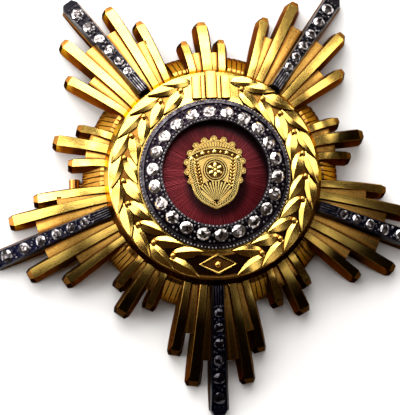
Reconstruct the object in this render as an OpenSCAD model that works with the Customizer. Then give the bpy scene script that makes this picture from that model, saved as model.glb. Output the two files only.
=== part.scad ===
// Five-pointed jewelled breast star, lying on its back with its front up.
// Origin: on the star's axis, in the plane that the ray ends rest on. +Z faces the viewer, +Y is up as worn.

/* [Star] */
// Radius of the silver ray tips
silver_tip_r = 42; // [40.5:0.5:44]
// Height of the flat seat under the collar
seat_z = 8.7; // [8.5:0.05:8.9]
// Radius where the gold rays leave the collar
root_r = 19.5; // [19.4:0.1:19.7]
// Slope of the side walls, sideways per unit of height
wall_draft = 0.18; // [0.15:0.01:0.25]

/* [Gold rays] */
// How late the ray tops bend down, where 1 is a straight slope
ray_bend = 1.7; // [1.3:0.05:2]
// Thickness of a gold ray at its tip
tip_wall = 2.9; // [2.4:0.1:3]
// Radius of the fluted web between the points
web_r = 23.1; // [22.9:0.1:23.4]
// Height of the web's outer edge
web_z = 2.8; // [2.6:0.1:3.2]

/* [Silver rays] */
// Width of the top face at the tip
silver_tip_w = 2.95; // [2.6:0.05:3.1]
// Width of the top face at the collar
silver_root_w = 1.75; // [1.6:0.05:1.9]
// Height of the top face beside the collar
silver_root_z = 10.5; // [10.2:0.1:10.8]
// Stones on each silver ray
ray_stone_count = 6; // [4:1:6]

/* [Laurel collar] */
// Radius of the collar's rounded rim
collar_r = 18.5; // [18.3:0.1:18.7]
// Leaf pairs on each branch
leaf_pairs = 10; // [8:1:10]
// Length of an outer leaf
leaf_len = 6; // [5.4:0.1:6.2]
// Radius of the circle that the berries stand on
berry_circle_r = 16.05; // [15.8:0.05:16.2]

/* [Medallion] */
// Outer radius of the stone ring
ring_r = 13.3; // [13.1:0.1:13.5]
// Radius of the opening over the enamel
window_r = 9.3; // [9.1:0.1:9.4]
// Height of the ring's outer edge
ring_low_z = 12.3; // [12.1:0.1:12.5]
// Height of the ring's inner edge
ring_high_z = 14.1; // [13.9:0.1:14.3]
// Stones in the ring
ring_stone_count = 22; // [18:1:22]
// Radius of a ring stone
ring_stone_r = 1.4; // [1.2:0.02:1.42]

/* [Pin] */
// Radius of the pin's stem
stem_r = 0.45; // [0.35:0.05:0.45]

/* [Hidden] */
points = 5;
sector = 360 / points;
gap = 0.06;
first_silver = -90;
first_group = 90;

// The rays of one point, clockwise to anticlockwise, and the group of three short ones after it.
// Angles are from the silver ray's axis. Kind is a row of ray_kinds, and SILVER has none.
LONG = 0;
MIDDLE = 1;
CENTRE = 2;
SHORT = 3;
SILVER = 4;
ray_angles = [-15, -8, 0, 8, 15, 28.4, 36, 43.6];
ray_order = [MIDDLE, LONG, SILVER, LONG, MIDDLE, SHORT, CENTRE, SHORT];

// Sizes of each kind of gold ray
TIP_R = 0;
TIP_Z = 1;
ROOT_W = 2;
TIP_W = 3;
ray_kinds = [
    [36.9, 3.1, 1.35, 1.9],
    [32.0, 3.3, 1.2, 1.6],
    [29.2, 3.9, 1.65, 1.95],
    [25.8, 4.5, 1.2, 1.4]
];
ray_root_z = seat_z - 0.05;
root_wall = 1.7;

// The rays were set by hand: how far each stands off its angle, a row for each point, in ray_angles' order
root_turns = [
    [-0.6, 0.9, 0, 0, 0.1, 0.5, 0.2, -0.8],
    [-0.8, -1.1, 0, -1.2, -2.2, -1.0, -0.5, -0.8],
    [1.5, 0.3, -0.8, 0.3, -1.2, 0.7, 0.6, 1.1],
    [2.1, 1.9, 1.2, 1.4, 1.0, 2.2, 1.7, 1.6],
    [2.1, 0, -0.4, 0.1, 0.2, 0.2, -0.5, -0.5]
];
tip_turns = [
    [1.2, 1.0, 0.1, 0.7, -0.7, -1.9, -2.2, -2.6],
    [-1.7, -1.3, 0, -0.6, -1.5, -2.0, -2.6, -2.0],
    [-1.0, 0.3, -0.1, 0.6, 0.4, 1.5, 1.4, 1.5],
    [1.2, 0.5, 0.3, 0.5, 1.5, 2.5, 1.8, 2.2],
    [1.5, 0, 0.7, 0, 0.2, 0.6, -0.2, 0.2]
];

// Lower filler rays: the two rays of ray_angles that one lies between, how far from the first to the second,
// end radius, widths at root and end, and how far its top is below the first gold ray's
BESIDE = 0;
TOWARDS = 1;
BETWEEN = 2;
END_R = 3;
FILL_ROOT_W = 4;
FILL_END_W = 5;
fillers = [
    [3, 2, 0.44, 32.3, 1.3, 2.5],
    [1, 2, 0.44, 32.3, 1.3, 2.5],
    [3, 4, 0.5, 27.9, 1.3, 2.0],
    [1, 0, 0.5, 27.9, 1.3, 2.0],
    [6, 5, 0.52, 22.9, 1.2, 1.7],
    [6, 7, 0.52, 22.9, 1.2, 1.7]
];
filler_drop = 0.9;
filler_wall = 1.3;
filler_draft = 0.1;

// Small flutes of the web, from one point's outer rays to the next group's
flute_angles = [18.1, 20.55, 23.0, 25.45, 46.55, 49.0, 51.45, 53.9];
flute_root_z = seat_z - 0.6;
flute_w = 0.82;
flute_h = 0.5;

// Where the rays start, inside the dome's shell
core_r = 19;

// The dome's shell, on which the flutes stand
shell_t = 1.05;
shell = [[0, seat_z - shell_t], [0, seat_z], [19.2, seat_z], [19.45, 7.5], [21.2, 4.8], [22.9, 2.3],
    [22.75, 1.8], [22.2, 1.8], [20.2, 4.6], [18.2, 6.9], [16.5, seat_z - shell_t]];

// The clipped end of a gold ray: how long, how much narrower, how much lower and how steep
end_len = 0.85;
end_share = 0.62;
end_drop = 0.45;
end_slope = 0.4;

// Collar profile
collar_in_r = 12.85;
collar_high_z = 11.2;
collar_low_z = 10.4;
collar_foot_r = 19.3;
leaf_w = 2.8;
leaf_rise = 0.8;
first_leaf = 19.5;
leaf_pitch = 14.6;
berry_r = 0.52;

// Silver ray stones, from the tip inwards
first_ray_stone = 39;
ray_stone_pitch = 3.4;
pitch_shrink = 0.93;
ray_stone_share = 0.4;

silver_h = 2.1;
silver_tip_h = 1.05;
silver_tip_z = 1.6;
silver_draft = 0.16;
silver_in_r = 19.5;
silver_bend = 1.15;
groove_len = 4.6;
groove_r = 0.17;
groove_at = silver_in_r + groove_len / 2 - 1;
groove_pitch = silver_root_w * 0.28;

// Backing strips: their ends, where their undersides lie flat, and how far they show beside the silver
strip_end_r = 41.3;
strip_flat_r = 37;
strip_root_z = 6.4;
strip_lip = 0.14;
strip_end_share = 0.6;

ring_mid_r = 11;
ring_phase = 3.3;
ring_slope = atan((ring_high_z - ring_low_z) / (ring_r - window_r));
ring_mid_z = ring_low_z + (ring_r - ring_mid_r) * tan(ring_slope);
table_share = 0.55;
stone_crown = 0.42;
seat_depth = 0.95;
enamel_z = 12.4;
enamel_t = 0.7;

emblem_z = enamel_z + gap;
emblem_base = 0.7;
head_y = 1.1;
head_r = 4.85;

pin_z = 0.95;
barrel_x = -24.5;
barrel_r = 0.95;
barrel_len = 2.3;
stem_end_x = 20.5;
post_x = 15.8;

function two_digits(i) = i < 10 ? str("0", i) : str(i);
RING_STONES = [for (i = [1 : ring_stone_count]) str("ring_stone_", two_digits(i))];
SILVER_RAYS = [for (i = [1 : points]) str("silver_ray_", i)];
RAY_STONES = [for (i = [1 : points]) str("ray_stones_", i)];

gold = "#e0b040";
dark_silver = "#33333d";
crystal = "#e8e8ea";
red_enamel = "#7c2126";
old_gold = "#c59a38";

function mix(a, b, t) = a + (b - a) * t;
function share(r, tip) = max(0, (r - root_r) / (tip - root_r));
function kind_of(c) = ray_kinds[ray_order[c]];
function root_angle(k, c) = ray_angles[c] + root_turns[k][c];
function tip_angle(k, c) = ray_angles[c] + tip_turns[k][c];
function on_circle(r, a) = r * [cos(a), sin(a)];

// Frame whose +X runs from a ray's root to its tip, with x equal to the radius at the root
module ray_frame(root_a, tip_a, tip) {
    root = on_circle(root_r, root_a);
    run = on_circle(tip, tip_a) - root;
    dir = atan2(run[1], run[0]);
    translate(root - on_circle(root_r, dir)) rotate(dir) children();
}

// Closed convex bar along +X through sections of [radius, half width, top, half width below, bottom]
module bar(sections) {
    corners = [for (s = sections, side = [-1, 1])
        each [[s[0], side * s[1], s[2]], [s[0], side * s[3], s[4]]]];
    hull() polyhedron(corners, [for (i = [1 : len(corners) - 2]) [0, i, i + 1]]);
}

function section(r, w, top, low, draft) = [r, w / 2, top, w / 2 + draft * (top - low), low];
function gold_top(r, kind) = ray_root_z - (ray_root_z - kind[TIP_Z]) * pow(share(r, kind[TIP_R]), ray_bend);

// A tall gold ray with a clipped, sloping tip
module gold_ray(kind) {
    tip = kind[TIP_R];
    shoulder = tip - end_len;
    foot = kind[TIP_Z] - tip_wall;
    low_root = ray_root_z - root_wall;
    stops = [core_r, mix(root_r, shoulder, 0.35), mix(root_r, shoulder, 0.7), shoulder];
    body = [for (r = stops) section(r, mix(kind[ROOT_W], kind[TIP_W], share(r, tip)), gold_top(r, kind),
        mix(low_root, foot, (r - core_r) / (shoulder - core_r)), wall_draft)];
    end = section(tip, kind[TIP_W] * end_share, kind[TIP_Z] - end_drop, foot, end_slope);
    bar(concat(body, [end]));
}

// A lower filler ray with a square end, which follows the kind of gold ray beside it
module filler(f) {
    end = f[END_R];
    kind = kind_of(f[BESIDE]);
    low_root = ray_root_z - root_wall;
    low_end = gold_top(end, kind) - filler_drop - filler_wall;
    stops = [core_r, mix(root_r, end, 0.5), end];
    bar([for (r = stops) let (w = mix(f[FILL_ROOT_W], f[FILL_END_W], share(r, end)))
        section(r, w, gold_top(r, kind) - filler_drop, mix(low_root, low_end, (r - core_r) / (end - core_r)),
            filler_draft)]);
}

// One small flute of the web
module flute() {
    stops = [core_r, mix(root_r, web_r, 0.5), web_r];
    foot = 0.7;
    bar([for (r = stops) let (top = flute_root_z - (flute_root_z - web_z) * pow(share(r, web_r), 1.25))
        section(r, flute_w * r / web_r, top, top - flute_h - foot, 0.2)]);
}

function silver_fall(r) = pow(share(r, silver_tip_r), silver_bend);
function silver_top(r) = mix(silver_root_z, silver_tip_z, silver_fall(r));
function silver_w(r) = mix(silver_root_w, silver_tip_w, share(r, silver_tip_r));
function silver_low(r) = mix(silver_root_z - silver_h, silver_tip_z - silver_tip_h, share(r, silver_tip_r));
function silver_foot(r) = silver_w(r) / 2 + silver_draft * (silver_top(r) - silver_low(r));
silver_end = silver_tip_r - 1;

// Gold strip that a silver ray is riveted to
module backing_strip() {
    stops = [core_r, 24, 30, strip_flat_r, silver_end];
    body = [for (r = stops) let (foot = silver_foot(r) + strip_lip)
        [r, foot, silver_low(r) - gap, foot + 0.1,
        max(0, strip_root_z * (strip_flat_r - r) / (strip_flat_r - core_r))]];
    foot = silver_foot(strip_end_r) * strip_end_share;
    bar(concat(body, [[strip_end_r, foot, silver_low(strip_end_r) - gap, foot + 0.1, 0]]));
}

// Room that a silver ray lies in, between the gold ones
module silver_bed() {
    bar([for (r = [core_r, 24, 30, strip_flat_r, silver_tip_r]) let (half = silver_foot(r) + gap)
        [r, half, silver_top(r) + 1, half, silver_low(r) - gap]]);
}

// The gold pieces that belong to point k
module gold_point(k) {
    ray_frame(root_angle(k, 2), tip_angle(k, 2), silver_tip_r) backing_strip();
    difference() {
        union() {
            for (c = [0 : len(ray_order) - 1]) if (ray_order[c] != SILVER)
                ray_frame(root_angle(k, c), tip_angle(k, c), kind_of(c)[TIP_R]) gold_ray(kind_of(c));
            for (f = fillers)
                ray_frame(mix(root_angle(k, f[BESIDE]), root_angle(k, f[TOWARDS]), f[BETWEEN]),
                    mix(tip_angle(k, f[BESIDE]), tip_angle(k, f[TOWARDS]), f[BETWEEN]), f[END_R]) filler(f);
        }
        ray_frame(root_angle(k, 2), tip_angle(k, 2), silver_tip_r) silver_bed();
    }
    for (a = flute_angles) rotate(a + mix(root_turns[k][4], root_turns[k][5], 0.5)) flute();
}

module gold_star() {
    color(gold) {
        rotate_extrude($fn = 45) polygon(shell);
        for (k = [0 : points - 1]) rotate(first_silver + k * sector) gold_point(k);
    }
}

// Stone with a table, eight crown facets and eight to its point. The girdle is at z = 0.
module cut_stone(r, crown, depth) {
    sides = 8;
    girdle = [for (i = [0 : sides - 1]) concat(on_circle(r, i * 360 / sides), 0)];
    edge = [for (i = [0 : sides - 1]) concat(on_circle(r * table_share, i * 360 / sides), crown)];
    point = 2 * sides;
    crown_facets = [for (i = [0 : sides - 1]) let (j = (i + 1) % sides) [sides + i, sides + j, j, i]];
    low_facets = [for (i = [0 : sides - 1]) [i, (i + 1) % sides, point]];
    table = [for (i = [sides - 1 : -1 : 0]) sides + i];
    polyhedron(concat(girdle, edge, [[0, 0, -depth]]), concat(crown_facets, low_facets, [table]));
}

function ray_stone_step(i) = ray_stone_pitch * pow(pitch_shrink, i);
function ray_stone_at(i) = i == 0 ? first_ray_stone : ray_stone_at(i - 1) - ray_stone_step(i - 1);
function ray_stone_r(i) = ray_stone_share * silver_w(ray_stone_at(i));
function silver_slope(r) = atan(silver_top(r + 0.5) - silver_top(r - 0.5));

module silver_frame(k) {
    rotate(first_silver + k * sector) ray_frame(root_angle(k, 2), tip_angle(k, 2), silver_tip_r) children();
}

module on_silver(i) {
    r = ray_stone_at(i);
    translate([r, 0, silver_top(r)]) rotate([0, -silver_slope(r), 0]) children();
}

module silver_ray(k) {
    stops = [silver_in_r, 22, 27, 33, silver_end];
    body = [for (r = stops) [r, silver_w(r) / 2, silver_top(r), silver_foot(r), silver_low(r)]];
    half = silver_tip_w * end_share / 2;
    end = [silver_tip_r, half, silver_tip_z - 0.25, half + 0.1, silver_low(silver_tip_r)];
    color(dark_silver) silver_frame(k) difference() {
        bar(concat(body, [end]));
        for (i = [0 : ray_stone_count - 1]) on_silver(i) translate([0, 0, -0.5])
            cylinder(h = 2, r = ray_stone_r(i) + gap, $fn = 32);
        for (side = [-1, 0, 1]) translate([groove_at, side * groove_pitch, silver_top(groove_at)])
            rotate([0, 90 - silver_slope(groove_at), 0])
            cylinder(h = groove_len, r = groove_r, $fn = 16, center = true);
    }
}

module ray_stones(k) {
    color(crystal) silver_frame(k) for (i = [0 : ray_stone_count - 1]) on_silver(i)
        translate([0, 0, -0.08]) cut_stone(ray_stone_r(i), 0.35, 0.36);
}

function collar_z(r) = mix(collar_high_z, collar_low_z, (r - ring_r) / (collar_r - ring_r));

// Point of a leaf that starts at radius r0: u runs along the leaf, v across, h is above the collar
function leaf_point(r0, turn, u, v, h) = let (x = r0 + u * sin(turn) + v * cos(turn),
    y = -u * cos(turn) + v * sin(turn), r = norm([x, y])) [x, y, collar_z(r) + h];

// Ridged leaf that points along the branch, turned outwards by turn degrees, with its tip raised
module leaf(r0, start, turn, len, wide) {
    half = wide / 2;
    outline = [[start, 0], [start + len * 0.42, half], [start + len, 0], [start + len * 0.42, -half]];
    low = [for (p = outline) leaf_point(r0, turn, p[0], p[1], -0.35)];
    edge = [for (p = outline) leaf_point(r0, turn, p[0], p[1], p[0] > start + 0.9 * len ? leaf_rise : 0.12)];
    ridge = [leaf_point(r0, turn, start + len * 0.42, 0, leaf_rise)];
    corners = concat(low, edge, ridge);
    hull() polyhedron(corners, [for (i = [1 : len(corners) - 2]) [0, i, i + 1]]);
}

module leaf_pair() {
    leaf(berry_circle_r + 0.8, 0.1, 5, leaf_len, leaf_w);
    leaf(berry_circle_r - 0.35, 0.2, -26, leaf_len * 0.92, leaf_w * 0.88);
    translate([berry_circle_r, 0, collar_z(berry_circle_r) + 0.5]) sphere(r = berry_r, $fn = 8);
}

// Sunken diamond with a raised rim and a berry, where the two branches meet
module tie() {
    half_w = 3.4;
    inner = 0.72;
    mid = 15.85;
    rise = [[-1.85, 0], [0, half_w], [1.85, 0], [0, -half_w]];
    difference() {
        hull() for (p = rise) translate([mid + p[0], p[1], collar_z(mid + p[0]) - 0.3])
            cylinder(h = 0.85, r = 0.12, $fn = 8);
        hull() for (p = rise) translate([mid + p[0] * inner, p[1] * inner, collar_z(mid + p[0]) + 0.22])
            cylinder(h = 1, r = 0.05, $fn = 8);
    }
    translate([mid, 0, collar_z(mid) + 0.45]) sphere(r = berry_r * 1.1, $fn = 8);
}

// Flat bars that fill the opening between the branches, three high ones and two low ones
module top_bar(offset, wide, end_r, rise) {
    translate([0, offset, 0]) bar([for (r = [ring_r + 0.25, end_r]) [r, wide / 2, collar_z(r) + rise,
        wide / 2 + 0.12, collar_z(r) - 0.3]]);
}

module laurel_collar() {
    color(gold) {
        rotate_extrude($fn = 40) polygon([[collar_in_r, seat_z + gap], [collar_in_r, collar_high_z],
            [ring_r + 0.2, collar_high_z], [mix(ring_r, collar_r, 0.94), collar_z(collar_r - 0.3)],
            [collar_r + 0.1, collar_low_z - 0.25], [collar_foot_r, seat_z + gap]]);
        for (side = [0, 1]) mirror([side, 0, 0]) for (i = [0 : leaf_pairs - 1])
            rotate(first_group - first_leaf - i * leaf_pitch) leaf_pair();
        rotate(first_silver) tie();
        rotate(first_group) {
            top_bar(0, 1.75, 18.4, 0.8);
            for (side = [-1, 1]) {
                top_bar(side * 1.45, 0.7, 18, 0.3);
                top_bar(side * 2.5, 1.35, 17.5, 0.65);
            }
        }
    }
}

module on_ring(i) {
    rotate(first_group + ring_phase - i * 360 / ring_stone_count) translate([ring_mid_r, 0, ring_mid_z])
        rotate([0, ring_slope, 0]) children();
}

module stone_ring() {
    plate_z = enamel_z - enamel_t - gap;
    plate_low = plate_z - 0.8;
    foot_r = collar_in_r - gap;
    wall_in_r = foot_r - 1.1;
    color(dark_silver) difference() {
        rotate_extrude() polygon([[0, plate_low], [0, plate_z], [window_r, plate_z], [window_r, ring_high_z],
            [window_r + 0.35, ring_high_z], [ring_r, ring_low_z], [ring_r, collar_high_z + gap],
            [foot_r, collar_high_z + gap], [foot_r, seat_z + gap], [wall_in_r, seat_z + gap],
            [wall_in_r, plate_low]]);
        for (i = [0 : ring_stone_count - 1]) on_ring(i) translate([0, 0, -seat_depth])
            cylinder(h = 3, r = ring_stone_r + gap, $fn = 32);
    }
}

module ring_stone(i) {
    color(crystal) on_ring(i) translate([0, 0, -0.1])
        cut_stone(ring_stone_r, stone_crown, seat_depth - 0.15);
}

module enamel_disc() {
    rim_r = window_r - gap;
    low = enamel_z - enamel_t;
    color(red_enamel) rotate_extrude() polygon([[0, low], [0, enamel_z], [rim_r - 0.3, enamel_z],
        [rim_r, enamel_z - 0.15], [rim_r, low]]);
}

// Cartouche outline: round above, narrow below, with a scalloped edge
module cartouche() {
    hull() {
        translate([0, head_y]) circle(r = head_r, $fn = 28);
        translate([0, -1.9]) circle(r = 4.1, $fn = 24);
        translate([0, -5.6]) circle(r = 0.8, $fn = 12);
    }
    for (a = [-36 : 28 : 216]) translate([0, head_y]) rotate(a) translate([head_r, 0])
        circle(r = 0.75, $fn = 9);
}

// Raised relief: a fan below, a flower in a rim, an arched band of bosses above and a sprig at each side
module emblem() {
    fan_foot = -5.4;
    flower_y = 0.55;
    band_y = -3.7;
    low = emblem_base - 0.1;
    color(gold) translate([0, 0, emblem_z]) {
        linear_extrude(emblem_base) cartouche();
        for (a = [-36 : 9 : 36]) translate([0, fan_foot, low]) rotate(90 + a) hull() {
            translate([1.3, 0, 0]) cylinder(h = 0.25, r = 0.09, $fn = 6);
            translate([3.4, 0, 0]) cylinder(h = 0.4, r = 0.22, $fn = 8);
        }
        for (r = [6.9, 8]) translate([0, band_y, low - 0.02]) rotate(60) rotate_extrude(angle = 60, $fn = 60)
            translate([r - 0.13, 0]) square([0.26, 0.3]);
        for (i = [-3 : 3]) translate([0, band_y, low]) rotate(90 + i * 8.8) translate([7.45, 0, 0])
            cylinder(h = i % 2 == 0 ? 0.5 : 0.38, r1 = 0.4, r2 = 0.2, $fn = 8);
        translate([0, flower_y, low]) {
            difference() {
                cylinder(h = 0.4, r = 2.1, $fn = 24);
                translate([0, 0, 0.25]) cylinder(h = 1, r = 1.7, $fn = 24);
            }
            for (a = [30 : 60 : 330]) rotate(a) translate([1, 0, 0]) scale([0.55, 0.4, 1])
                cylinder(h = 0.42, r1 = 1, r2 = 0.6, $fn = 8);
            cylinder(h = 0.55, r = 0.42, $fn = 10);
        }
        for (side = [-1, 1], i = [0 : 3], k = [-1, 1]) let (t = i / 3)
            translate([side * mix(2.75, 3.6, t), mix(-2.2, 2, t), low - 0.01 * i])
            rotate(90 - side * (20 - 30 * t) + k * 42) translate([0.48, 0, 0]) scale([0.42, 0.19, 1])
            cylinder(h = 0.34, r1 = 1, r2 = 0.5, $fn = 6);
    }
}

// Hinge barrel, stem and catch, in one piece
module brooch_pin() {
    color(old_gold) {
        translate([barrel_x, 0, pin_z + 0.1]) rotate([90, 0, 0])
            cylinder(h = barrel_len, r = barrel_r, center = true);
        translate([barrel_x, 0, pin_z]) rotate([0, 90, 0]) cylinder(h = stem_end_x - barrel_x, r = stem_r);
        for (side = [-1, 1]) translate([side * post_x, 0, pin_z - stem_r * 0.6])
            cylinder(h = seat_z - shell_t - gap - pin_z + stem_r * 0.6, r = stem_r * 1.6);
        translate([post_x, 0, pin_z]) rotate([0, 90, 0]) cylinder(h = 2.4, r = 0.85);
    }
}

gold_star();
laurel_collar();
for (k = [0 : points - 1]) silver_ray(k);
for (k = [0 : points - 1]) ray_stones(k);
stone_ring();
for (i = [0 : ring_stone_count - 1]) ring_stone(i);
enamel_disc();
emblem();
brooch_pin();
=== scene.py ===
import bpy
import bmesh
import math
import random
from math import radians
from mathutils import Matrix, Vector, geometry, noise


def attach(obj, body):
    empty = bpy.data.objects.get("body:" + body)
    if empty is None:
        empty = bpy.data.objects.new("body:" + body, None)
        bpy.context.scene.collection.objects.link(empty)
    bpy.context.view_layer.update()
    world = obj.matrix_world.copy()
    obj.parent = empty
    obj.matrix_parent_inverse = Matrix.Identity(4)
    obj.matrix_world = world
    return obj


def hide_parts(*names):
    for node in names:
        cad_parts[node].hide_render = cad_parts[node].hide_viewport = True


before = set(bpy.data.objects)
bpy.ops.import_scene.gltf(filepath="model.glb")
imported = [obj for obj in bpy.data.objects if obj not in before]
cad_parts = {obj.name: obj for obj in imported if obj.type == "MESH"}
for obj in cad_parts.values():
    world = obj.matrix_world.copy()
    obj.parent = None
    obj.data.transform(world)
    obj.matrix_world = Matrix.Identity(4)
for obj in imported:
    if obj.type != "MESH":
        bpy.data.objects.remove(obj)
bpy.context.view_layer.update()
scene = bpy.context.scene
mm = 0.001  # lengths below are in millimetres
print("frame loaded:", len(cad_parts), "nodes")


def mix(a, b, t):
    return a + (b - a) * t


def clamp(t):
    return min(1, max(0, t))


def onCircle(radius, angle, z=0):
    return Vector((radius * math.cos(radians(angle)), radius * math.sin(radians(angle)), z))


def turned(angle, axis):
    return Matrix.Rotation(radians(angle), 4, axis)


def aboutZ(angle):
    return turned(angle, "Z")


def addObject(name, data):
    made = bpy.data.objects.new(name, data)
    scene.collection.objects.link(made)
    return made


# Camera: above the star, leaning a little to the lower left, as in the photo

cameraSet = {
    "pivot": (0, 0, 12.3),  # middle of the stone ring's outer edge
    "distance": 282.0,
    "lens": 139.8,
    "turn": 1.918,  # the star's turn in the picture, degrees
    "lean": 9.983,
    "leanAxis": 149.91,  # direction of the axis that it leans about, degrees from +X
    "aim": (-0.533, -1.209),  # from the pivot to the picture's middle, degrees
}


def addCamera():
    s = cameraSet
    across, up = s["aim"]
    toView = turned(s["lean"], onCircle(1, s["leanAxis"])) @ aboutZ(s["turn"])
    aim = turned(-across, "Y") @ turned(up, "X")
    data = bpy.data.cameras.new("camera")
    data.lens = s["lens"]
    data.clip_start = 0.01
    camera = addObject("camera", data)
    back = Matrix.Translation((0, 0, s["distance"] * mm))
    camera.matrix_world = Matrix.Translation(Vector(s["pivot"]) * mm) @ toView.transposed() @ back @ aim
    scene.camera = camera


addCamera()


def toLinear(hexColour):
    parts = [int(hexColour[i:i + 2], 16) / 255 for i in (1, 3, 5)]
    return tuple(c / 12.92 if c <= 0.04045 else ((c + 0.055) / 1.055) ** 2.4 for c in parts) + (1,)


# Studio: large soft lights above and beyond the top, little from below

lightSet = {
    "beyondTop": {"at": (-120, 420, 420), "size": (700, 420), "power": 4.6},
    "lowTop": {"at": (-160, 620, 200), "size": (760, 240), "power": 3.0},
    "overhead": {"at": (-140, 190, 560), "size": (480, 420), "power": 1.2},
    "left": {"at": (-500, 20, 300), "size": (300, 400), "power": 1.5},
    "lowLeft": {"at": (-600, 60, 150), "size": (400, 260), "power": 1.5},
    "right": {"at": (470, 330, 330), "size": (300, 300), "power": 0.8},
    "lowerRight": {"at": (320, -140, 540), "size": (320, 320), "power": 0.45},
}
worldColour = "#33210f"


def addLights():
    for name, s in lightSet.items():
        data = bpy.data.lights.new(name, "AREA")
        data.shape = "RECTANGLE"
        data.size = s["size"][0] * mm
        data.size_y = s["size"][1] * mm
        data.energy = s["power"]
        light = addObject(name, data)
        light.location = Vector(s["at"]) * mm
        light.rotation_euler = (-light.location).to_track_quat("-Z", "Y").to_euler()
    world = bpy.data.worlds.new("studio")
    world.use_nodes = True
    world.node_tree.nodes["Background"].inputs["Color"].default_value = toLinear(worldColour)
    scene.world = world
    scene.view_settings.view_transform = "Standard"


addLights()
print("camera and lights set")


# Material helpers

def perSize(size):
    return 1 / (size * mm)  # a pattern's scale from its real size in millimetres


def setInputs(tree, node, inputs):
    for key, value in inputs.items():
        if isinstance(value, bpy.types.NodeSocket):
            tree.links.new(value, node.inputs[key])
        else:
            node.inputs[key].default_value = toLinear(value) if isinstance(value, str) else value


def addNode(tree, kind, inputs=None, out=0, stops=(), **settings):
    node = tree.nodes.new("ShaderNode" + kind)
    for name, value in settings.items():
        setattr(node, name, value)
    setInputs(tree, node, inputs or {})
    if stops:
        elements = node.color_ramp.elements
        while len(elements) < len(stops):
            elements.new(1)
        for element, (place, colour) in zip(elements, stops):
            element.position = place
            element.color = toLinear(colour) if isinstance(colour, str) else (colour, colour, colour, 1)
    return node.outputs[out]


def newMaterial(name):
    material = bpy.data.materials.new(name)
    material.use_nodes = True
    tree = material.node_tree
    return material, tree, tree.nodes["Principled BSDF"]


asColour = {"out": 2, "data_type": "RGBA", "clamp_factor": True}  # a Mix node that mixes colours


# Cast and filed gold: a fine grain, brown tarnish and painted shade low on the walls, small dark pits. The
# bars carry the attributes along (mm from the axis), across (-1 to 1) and level (0 foot, 1 top), which sets
# the painted shade.

goldSet = {
    "top": "#f7d068", "warm": "#dea850", "wall": "#a87030", "shade": "#5c3a16", "tarnishAndShade": "#1e0f06",
    "darkened": "#160d05", "pit": "#1c0f06", "grazing": "#75603f",
    "cloudSize": 3.0, "grainSize": 0.25, "stainSize": 0.8, "pitSize": 1.5,
    "streakScale": 0.08,  # along the bar, against 1 across it
    "lowerShade": (-17, 1),  # painted shade: full below the first height on the star, none above the second
    "shadeSlant": (-0.12, 1, 0),
    "tips": (20.0, 26.0),  # it grows outwards between these radii
    "patch": (26.4, 5.5, 5),  # middle of the darkened patch at the right
    "patchSize": (4.2, 7),  # full within the first radius, gone at the second
    "patchTone": 0.97,
}


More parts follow.
